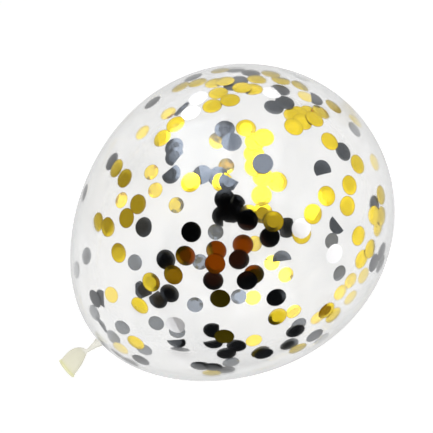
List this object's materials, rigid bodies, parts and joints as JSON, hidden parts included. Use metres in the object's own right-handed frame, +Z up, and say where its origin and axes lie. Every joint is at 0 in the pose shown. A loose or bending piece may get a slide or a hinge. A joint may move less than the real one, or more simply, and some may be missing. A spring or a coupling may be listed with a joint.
{
  "type": "confetti balloon",
  "caption": "Clear egg-shaped latex balloon, blown up and sealed by its twisted neck, lying on its side, with gold and black foil confetti discs sealed inside.",
  "frame": {"origin": "centre of the small flat spot under the balloon, which it rests on", "axes": "+Z up; the neck points to -X and droops 12.5 degrees, and the crown lies towards +X"},
  "size_m": [0.3915, 0.3, 0.2998],
  "materials": {
    "clear_latex": "thin clear latex, blown up, glossy and slightly milky; creamy where it is thick at the neck, tail and lip",
    "gold_foil": "mirror-bright gold film, slightly creased",
    "black_foil": "glossy black film, slightly creased"
  },
  "bodies": {
    "root": {"balloon": "clear_latex"}
  },
  "joints": []
}
